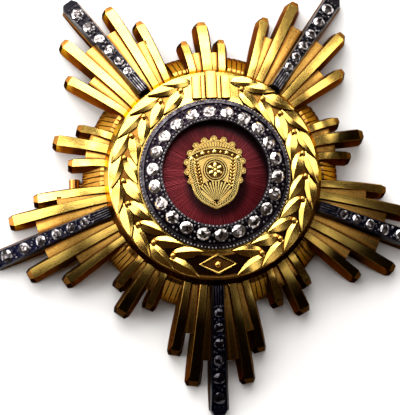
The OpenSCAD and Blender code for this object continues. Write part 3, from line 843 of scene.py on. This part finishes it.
def tieMesh():
    s = collarSet
    length, width, height = s["tieSize"]
    tie = bmesh.new()
    bmesh.ops.create_cube(tie, size=1)
    bmesh.ops.transform(tie, matrix=aboutZ(45), verts=tie.verts)
    bmesh.ops.scale(tie, vec=(length / 2 ** 0.5, width / 2 ** 0.5, height), verts=tie.verts)
    top = [f for f in tie.faces if f.normal.z > 0.9]
    bmesh.ops.inset_region(tie, faces=top, thickness=0.42, depth=0)
    bmesh.ops.inset_region(tie, faces=top, thickness=0.12, depth=-0.42)
    bevelSharp(tie, 0.06)
    # painted shade round the foot
    setAttribute(tie, "level", lambda p: 0.2 if abs(p.z) < 0.1 else 1)
    bmesh.ops.translate(tie, verts=tie.verts, vec=(s["tieR"], 0, collarZ(s["tieR"]) + s["tieRise"]))
    return tie


# painted shade: the ground between the leaves and the outer wall darken towards the bottom
def collarLevel(place):
    s = collarSet
    r = place.xy.length
    near, far = s["ground"]
    if r > s["outR"]:
        return mix(*s["wallTone"], clamp((-place.y - 1) / 11))
    if not near < r < far or abs(math.degrees(math.atan2(place.x, place.y))) < 22:
        return s["besideBarsTone"]
    return mix(*s["groundTone"], clamp((place.y + 10) / 20))


def makeCollar():
    s = collarSet
    edge = s["outR"] - 0.3
    profile = [(s["inR"], s["seatZ"]), (s["inR"], s["highZ"]), (s["ringR"] + 0.2, s["highZ"])]
    profile += [(r, collarZ(r)) for r in (14.0, 14.5, 17.7, edge)]
    profile += [(s["outR"] + 0.1, s["lowZ"] - 0.25), (s["footR"], s["seatZ"])]
    collar = spinProfile(profile, 120)
    setAttribute(collar, "level", collarLevel)
    for flip in (Matrix.Identity(4), Matrix.Scale(-1, 4, (1, 0, 0))):
        for i in range(s["pairs"]):
            turn = aboutZ(90 - s["firstLeaf"] - i * s["pitch"])
            for leaf in s["leaves"]:
                joinInto(collar, leafMesh(*leaf), flip @ turn)
            joinInto(collar, berry(s["berryR"], s["berryCircle"], s["berryRise"]), flip @ turn)
        joinInto(collar, leafMesh(*s["thinLeaf"]), flip @ aboutZ(90 - s["besideBars"]))
    joinInto(collar, tieMesh(), aboutZ(-90))
    joinInto(collar, berry(s["tieBerryR"], s["tieR"], s["tieBerryRise"]), aboutZ(-90))
    for offset, wide, endR, rise, edgeShade in s["bars"]:
        bar = makeBar(evenStops(s["ringR"] + 0.25, endR, 6), lambda r: wide / 2, lambda r: collarZ(r) + rise,
                      lambda r: collarZ(r) - 0.3, 0.05, 0.08, lowTone=0.1, edgeShade=edgeShade)
        joinInto(collar, bar, aboutZ(90) @ Matrix.Translation((0, offset, 0)))
    bmesh.ops.recalc_face_normals(collar, faces=collar.faces)
    addPiece("laurelCollar", collar, "collar_gold", collarGold, "laurel_collar", sharp=12)


makeCollar()


# Stone ring: two beaded edges, a sunken channel for the stones, five grains between each two of them

ringSet = {
    "outR": 13.3, "windowR": 9.3, "midR": 11.0, "lowZ": 12.3, "highZ": 14.1,
    "channel": (9.85, 12.4), "channelSlope": 0.1, "sink": 0.32, "plateZ": 11.64, "plateThick": 0.8,
    "shoulderZ": 11.26, "footR": 12.79, "wallR": 11.69, "footZ": 8.76, "topRub": 0.2, "edgeRub": 0.25,
    "stones": 22, "phase": 3.3, "stoneR": 1.22, "stoneSink": 0.1, "stoneTilt": 0.12,
    "beads": 130, "beadR": 0.17,
    "beadRub": (2.5, 2.0),  # outer and inner edge
    "grainR": 0.24,
    "grains": [(12.05, 1.76), (12.05, -1.76), (9.95, 2.08), (9.95, -2.08), (11.0, 0)],  # radius, degrees
}


def ringZ(r):
    s = ringSet
    return mix(s["lowZ"], s["highZ"], (s["outR"] - r) / (s["outR"] - s["windowR"]))


def ringProfile():
    s = ringSet
    near, far = s["channel"]
    slope = s["channelSlope"]
    lowZ = s["plateZ"] - s["plateThick"]
    return [(0.01, lowZ), (0.01, s["plateZ"]), (s["windowR"], s["plateZ"]), (s["windowR"], s["highZ"]),
            (s["windowR"] + 0.35, s["highZ"]), (near - slope, ringZ(near - slope)),
            (near, ringZ(near) - s["sink"]), (far, ringZ(far) - s["sink"]), (far + slope, ringZ(far + slope)),
            (s["outR"] - 0.12, ringZ(s["outR"] - 0.12)), (s["outR"], s["lowZ"] - 0.15),
            (s["outR"], s["shoulderZ"]), (s["footR"], s["shoulderZ"]), (s["footR"], s["footZ"]),
            (s["wallR"], s["footZ"]), (s["wallR"], lowZ)]


def ringRub(place):
    s = ringSet
    r = place.xy.length
    if place.z < ringZ(r) - 0.15:
        return 0.0
    return s["edgeRub"] if r > s["channel"][1] else s["topRub"]


def makeRing():
    s = ringSet
    ring = spinProfile(ringProfile(), 144)
    setAttribute(ring, "rub", ringRub)
    inner = round(s["beads"] * s["windowR"] / s["outR"])
    for count, r, z, rub in ((s["beads"], s["outR"] - 0.22, s["lowZ"] + 0.14, s["beadRub"][0]),
                             (inner, s["windowR"] + 0.2, s["highZ"] + 0.03, s["beadRub"][1])):
        for i in range(count):
            smallBall(ring, s["beadR"], onCircle(r, i * 360 / count, z), rub)
    for i in range(s["stones"]):
        angle = 90 + s["phase"] - (i + 0.5) * 360 / s["stones"]
        for r, off in s["grains"]:
            at = onCircle(r, angle + off, ringZ(r) + 0.08)
            smallBall(ring, s["grainR"], at, random.uniform(0.4, 1.0))
    addPiece("stoneRing", ring, "ring_silver", ringSilver, "stone_ring")


makeRing()


# Cut stones: a table, star facets, kites and a girdle, the corners a little off, as in old cuts

stoneSet = {
    "table": 0.46, "starR": 0.78, "starHeight": 0.62, "girdle": 0.06,
    "onRing": {"crown": 0.4, "depth": 0.6, "uneven": 0.09},
    "onRay": {"crown": 0.35, "depth": 0.36, "uneven": 0.16},
    "raySink": 0.08,
}


def stoneMesh(radius, crown, depth, uneven):
    s = stoneSet
    bm = bmesh.new()
    for count, r, z, shift in ((8, s["table"], crown, 0), (8, s["starR"], crown * s["starHeight"], 0.5),
                               (16, 1, 0, 0), (16, 1, -s["girdle"], 0), (1, 0, -depth, 0)):
        for i in range(count):
            off = random.uniform(-1, 1) * uneven if abs(z) < 0.5 and r < 1 else 0
            bm.verts.new(onCircle((r + off) * radius, (i + shift + 2 * off) * 360 / count, z * (1 + off)))
    bmesh.ops.convex_hull(bm, input=bm.verts)
    bmesh.ops.dissolve_limit(bm, angle_limit=radians(1), verts=bm.verts, edges=bm.edges)
    # rim lifts the painted sparkle towards the girdle
    setAttribute(bm, "rim", lambda p: 0 if p.xy.length < radius * 0.6 else 0.3)
    return bm


def makeRingStones():
    s = ringSet
    slope = math.atan((s["highZ"] - s["lowZ"]) / (s["outR"] - s["windowR"]))
    seat = Matrix.Translation((s["midR"], 0, ringZ(s["midR"])))
    sunk = Matrix.Translation((0, 0, -s["stoneSink"]))
    tilt = s["stoneTilt"]
    stones = bmesh.new()
    names = []
    for i in range(s["stones"]):
        place = (aboutZ(90 + s["phase"] - i * 360 / s["stones"]) @ seat
                 @ Matrix.Rotation(slope + random.uniform(-tilt, tilt), 4, "Y")
                 @ Matrix.Rotation(random.uniform(-tilt, tilt), 4, "X")
                 @ Matrix.Rotation(random.uniform(0, 6), 4, "Z") @ sunk)
        joinInto(stones, stoneMesh(s["stoneR"], **stoneSet["onRing"]), place)
        names.append(f"ring_stone_{i + 1:02d}")
    addPiece("ringStones", stones, "stone", ringCrystal, *names, sharp=3)


def makeRayStones(k):
    stones = bmesh.new()
    for r, step in stonePlaces():
        slope = math.atan2(silverTop(r - 0.5) - silverTop(r + 0.5), 1)
        tilt = Matrix.Rotation(slope, 4, "Y") @ Matrix.Rotation(random.uniform(0, 6), 4, "Z")
        stone = stoneMesh(silverSizes["stoneShare"] * 2 * silverHalf(r), **stoneSet["onRay"])
        at = Matrix.Translation((r, 0, silverTop(r) - stoneSet["raySink"]))
        joinInto(stones, stone, silverPlace(k) @ at @ tilt)
    addPiece(f"rayStones{k + 1}", stones, "stone", rayCrystal, f"ray_stones_{k + 1}", sharp=3)


makeRingStones()
for point in range(starSet["points"]):
    makeRayStones(point)


# Enamel: a shallow dome that falls towards the ring

enamelSize = {
    "topZ": 12.4, "lowZ": 11.72, "outR": 9.2, "fall": 0.45,
}


def makeEnamel():
    s = enamelSize
    stops = [0.01, 2, 4, 6, 7.5, 8.6, s["outR"]]
    top = [(r, s["topZ"] - s["fall"] * (r / s["outR"]) ** 2) for r in stops]
    disc = spinProfile(top + [(s["outR"], s["lowZ"]), (0.01, s["lowZ"])], 96)
    addPiece("enamelDisc", disc, "enamel", enamel, "enamel_disc")


makeEnamel()


# Emblem: a scalloped cartouche with a fan, a flower in a rim, an arched band of bosses, two sprigs and a
# border of slanted strokes. Each part's level is low at its foot, which paints shade as a dark line round it.

emblemSet = {
    "baseZ": 12.46, "fieldZ": 13.12, "edge": 0.15, "headY": 1.1, "headR": 4.95,
    "circles": [(1.1, 4.9), (-1.9, 4.15), (-5.5, 0.9)],  # y and radius; the outline lies tight around them
    "scallopR": 0.62, "scallopRise": 0.03, "scallopEdge": 0.12, "scallops": range(-30, 211, 20),
    "rimInset": (0.35, 1.15), "rimW": 0.26, "rimH": 0.14, "lineW": 0.11,
    "borderInset": 0.75, "borderW": 0.6,
    "borderTop": 2.6,  # the border ends below the band
    "strokeStep": 0.36, "strokeHalf": 0.26, "strokeLean": 55, "strokeW": (0.2, 0.2),
    "lowRelief": 0.1, "highRelief": 0.18,
    "flat": 0.7,  # share of the width that low bars have at the top
    "fanFoot": (0, -5.35), "fanRibs": 11, "fanStep": 8.2, "fanFrom": 0.7, "fanTo": (4.1, 3.8),
    # the fan's ground is dark: painted shade between its ribs
    "fanW": (0.07, 0.42), "fanTone": 0.05,
    "flower": (0, 0.5), "flowerGroundR": 2.2,
    "flowerRims": [(1.95, 0.3), (1.55, 0.2)],  # radius, width
    "petals": 6, "petalR": 0.84, "petalSize": (0.56, 0.32, 0.26), "heartSize": (0.34, 0.34, 0.34),
    "bandY": -3.7, "bandSpan": (54, 126), "bandGround": (6.75, 8.15), "bandRims": (6.9, 8.0),
    "bandLines": (6.62, 8.3), "bossR": 7.45, "bosses": 9, "bossStep": 8.2,
    "bossSizes": [(0.4, 0.4, 0.3), (0.3, 0.24, 0.26)],
    "headLines": 19, "headLineStep": 6.51, "headLine": (3.62, 4.4),
    "hatches": 7, "hatchStep": 0.32, "hatchW": 0.1,
    "sprigGround": [(2.2, -3), (2.25, -1), (2.6, 1), (3, 2.6), (3.6, 2.5), (3.5, 1), (3.15, -1), (2.9, -3)],
    "sprigPairs": 9, "sprigLeaf": (0.34, 0.15, 0.22), "sprigSpread": 42, "sprigOff": 0.34,
}
fieldZ = emblemSet["fieldZ"]


def reliefBar(target, start, end, startW, endW, height, flat=0.5):
    a, b = Vector(start), Vector(end)
    side = (b - a).normalized().orthogonal()
    bm = bmesh.new()
    level = bm.verts.layers.float.new("level")

    def corners(part, up):
        return [bm.verts.new((*(point + side * w * k * part / 2), fieldZ + up))
                for point, w in ((a, startW), (b, endW)) for k in (-1, 1)]

    # the foot keeps level 0 and the top level 1: painted shade at the foot
    foot, top = corners(1, -0.06), corners(flat, height)
    for v in top:
        v[level] = 1
    bm.faces.new((top[0], top[2], top[3], top[1]))
    for i, j in ((0, 2), (2, 3), (3, 1), (1, 0)):
        bm.faces.new((foot[i], foot[j], top[j], top[i]))
    joinInto(target, bm)


def reliefLine(target, points, width, height):
    for a, b in zip(points, points[1:]):
        reliefBar(target, a, b, width, width, height)


def pebble(target, at, size, turn=0):
    bm = bmesh.new()
    bmesh.ops.create_icosphere(bm, subdivisions=2, radius=1)
    # painted shade: darker below, lighter on top
    setAttribute(bm, "level", lambda p: clamp(0.3 + 1.8 * p.z))
    joinInto(target, bm, Matrix.Translation(at) @ aboutZ(turn) @ Matrix.Diagonal((*size, 1)))


def plate(points, lowZ, topZ, edge):
    bm = bmesh.new()
    face = bm.faces.new([bm.verts.new((x, y, lowZ)) for x, y in points])
    side = bmesh.ops.extrude_face_region(bm, geom=[face])
    bmesh.ops.translate(bm, verts=[v for v in side["geom"] if isinstance(v, bmesh.types.BMVert)],
                        vec=(0, 0, topZ - lowZ))
    bmesh.ops.recalc_face_normals(bm, faces=bm.faces)
    bevelSharp(bm, edge, 50, 1)
    # painted shade on the walls
    setAttribute(bm, "level", lambda p: 0.9 if p.z > topZ - edge * 1.5 else 0.2)
    return bm


def flatFaces(target, faces, z, tone):
    bm = bmesh.new()
    for corners in faces:
        bm.faces.new([bm.verts.new((*corner, z)) for corner in corners])
    setAttribute(bm, "level", lambda p: tone)
    joinInto(target, bm)


# flat sheets at a low level laid behind the reliefs: painted shade in the recesses
def ground(target, points, tone=0.24):
    flatFaces(target, [points], fieldZ + 0.008, tone)


# flat strips at the darkest level: the grooves' shade is painted, not cut
def engraved(target, points, width, z=fieldZ):
    faces = []
    for a, b in zip(points, points[1:]):
        side = (b - a).normalized().orthogonal() * width / 2
        faces.append((a - side, b - side, b + side, a + side))
    flatFaces(target, faces, z + 0.012, 0)


def arcOf(centre, radius, start, end, steps):
    return [Vector(centre) + onCircle(radius, mix(start, end, i / steps)).xy for i in range(steps + 1)]


def outlineOf(circles, inset, steps=16):
    points = []
    for y, radius in circles:
        points += arcOf((0, y), radius - inset, 0, 360, steps * 4)[:-1]
    order = geometry.convex_hull_2d(points)
    return [points[i] for i in order + order[:1]]


def evenly(points, step):
    places = []
    left = 0.0
    for a, b in zip(points, points[1:]):
        run = (b - a).normalized()
        while left < (b - a).length:
            places.append((a + run * left, run))
            left += step
        left -= (b - a).length
    return places


def addRims(emblem):
    s = emblemSet
    for angle in s["scallops"]:
        at = Vector((0, s["headY"])) + onCircle(s["headR"], angle).xy
        top = fieldZ + s["scallopRise"]
        joinInto(emblem, plate(arcOf(at, s["scallopR"], 0, 340, 17), s["baseZ"], top, s["scallopEdge"]))
        engraved(emblem, arcOf(at, s["scallopR"] * 0.55, angle - 180, angle + 180, 12), 0.1, top)
    outer, inner = s["rimInset"]
    reliefLine(emblem, outlineOf(s["circles"], outer), s["rimW"], s["rimH"])
    rim = outlineOf(s["circles"], inner)
    for a, b in zip(rim, rim[1:]):
        if max(a.y, b.y) < s["borderTop"]:
            reliefLine(emblem, [a, b], s["rimW"], s["rimH"])


def addBorder(emblem):
    s = emblemSet
    border = outlineOf(s["circles"], s["borderInset"], 40)
    for a, b in zip(border, border[1:]):
        if max(a.y, b.y) < s["borderTop"]:
            engraved(emblem, [a, b], s["borderW"])
    for middle, run in evenly(border, s["strokeStep"]):
        if middle.y < s["borderTop"]:
            lean = radians(s["strokeLean"] if middle.x > 0 else -s["strokeLean"])
            half = Matrix.Rotation(lean, 2) @ run * s["strokeHalf"]
            reliefBar(emblem, middle - half, middle + half, *s["strokeW"], s["lowRelief"], s["flat"])


def addFan(emblem):
    s = emblemSet
    foot = Vector(s["fanFoot"])
    ground(emblem, [foot] + arcOf(foot, 4.15, 44, 136, 24), s["fanTone"])
    for i in range(s["fanRibs"]):
        run = onCircle(1, 90 + (i - s["fanRibs"] // 2) * s["fanStep"]).xy
        start, end = foot + run * s["fanFrom"], foot + run * s["fanTo"][i % 2]
        reliefBar(emblem, start, end, *s["fanW"], s["lowRelief"], s["flat"])


def addFlower(emblem):
    s = emblemSet
    flower = Vector(s["flower"])
    ground(emblem, arcOf(flower, s["flowerGroundR"], 0, 350, 35))
    for radius, width in s["flowerRims"]:
        reliefLine(emblem, arcOf(flower, radius, 0, 360, 28), width, s["highRelief"])
    for i in range(s["petals"]):
        turn = (i + 0.5) * 360 / s["petals"]
        pebble(emblem, onCircle(s["petalR"], turn) + Vector((*flower, fieldZ)), s["petalSize"], turn)
    pebble(emblem, (*flower, fieldZ + 0.08), s["heartSize"])


def addBand(emblem):
    s = emblemSet
    middle = Vector((0, s["bandY"]))
    start, end = s["bandSpan"]
    for i in range(s["bosses"]):
        angle = 90 + (i - s["bosses"] // 2) * s["bossStep"]
        pebble(emblem, (*(middle + onCircle(s["bossR"], angle).xy), fieldZ), s["bossSizes"][i % 2], angle)
    inner, outer = s["bandGround"]
    ground(emblem, arcOf(middle, inner, start, end, 18) + arcOf(middle, outer, end, start, 18))
    for radius in s["bandRims"]:
        reliefLine(emblem, arcOf(middle, radius, start, end, 18), s["rimW"], s["highRelief"])
    for radius in s["bandLines"]:
        engraved(emblem, arcOf(middle, radius, start, end, 18), s["lineW"])


def addHatching(emblem):
    s = emblemSet
    head = Vector((0, s["headY"]))
    for i in range(s["headLines"]):
        angle = 90 + (i - s["headLines"] // 2) * s["headLineStep"]
        engraved(emblem, [head + onCircle(r, angle).xy for r in s["headLine"]], s["lineW"])
    for i in range(s["hatches"]):
        drop = i * s["hatchStep"]
        for side in (-1, 1):
            inner, outer = Vector((side * 2.6, -2.2 - drop)), Vector((side * (3.5 - i * 0.25), -2.0 - drop))
            engraved(emblem, [inner, outer], s["hatchW"])


def addSprigs(emblem):
    s = emblemSet
    for side in (-1, 1):
        ground(emblem, [Vector((side * x, y)) for x, y in s["sprigGround"]])
        for i in range(s["sprigPairs"]):
            t = i / (s["sprigPairs"] - 1)
            stem = Vector((side * mix(2.5, 3.3, t ** 0.7), mix(-2.5, 2.1, t)))
            for k in (-1, 1):
                lean = 90 - side * (20 - 30 * t) + k * s["sprigSpread"]
                at = stem + onCircle(s["sprigOff"], lean).xy
                pebble(emblem, (*at, fieldZ), s["sprigLeaf"], lean)


def makeEmblem():
    s = emblemSet
    emblem = plate(outlineOf(s["circles"], 0)[:-1], s["baseZ"], fieldZ, s["edge"])
    for add in (addRims, addBorder, addFan, addFlower, addBand, addHatching, addSprigs):
        add(emblem)
    bmesh.ops.recalc_face_normals(emblem, faces=emblem.faces)
    addPiece("emblemRelief", emblem, "emblem_gold", emblemGold, "emblem")


makeEmblem()


# The brooch pin keeps the frame's shape

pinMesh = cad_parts["brooch_pin"].data
pinMesh.materials.clear()
pinMesh.materials.append(pinGold)
print("frame pieces finished")


# Floor

def addFloor():
    bm = bmesh.new()
    bmesh.ops.create_grid(bm, x_segments=1, y_segments=1, size=2)
    mesh = meshFrom("floor", bm)
    material, tree, shader = newMaterial("paleBoard")
    setInputs(tree, shader, {"Base Color": "#f4f3f1", "Roughness": 0.8})
    mesh.materials.append(material)
    floor = addObject("floor", mesh)


addFloor()
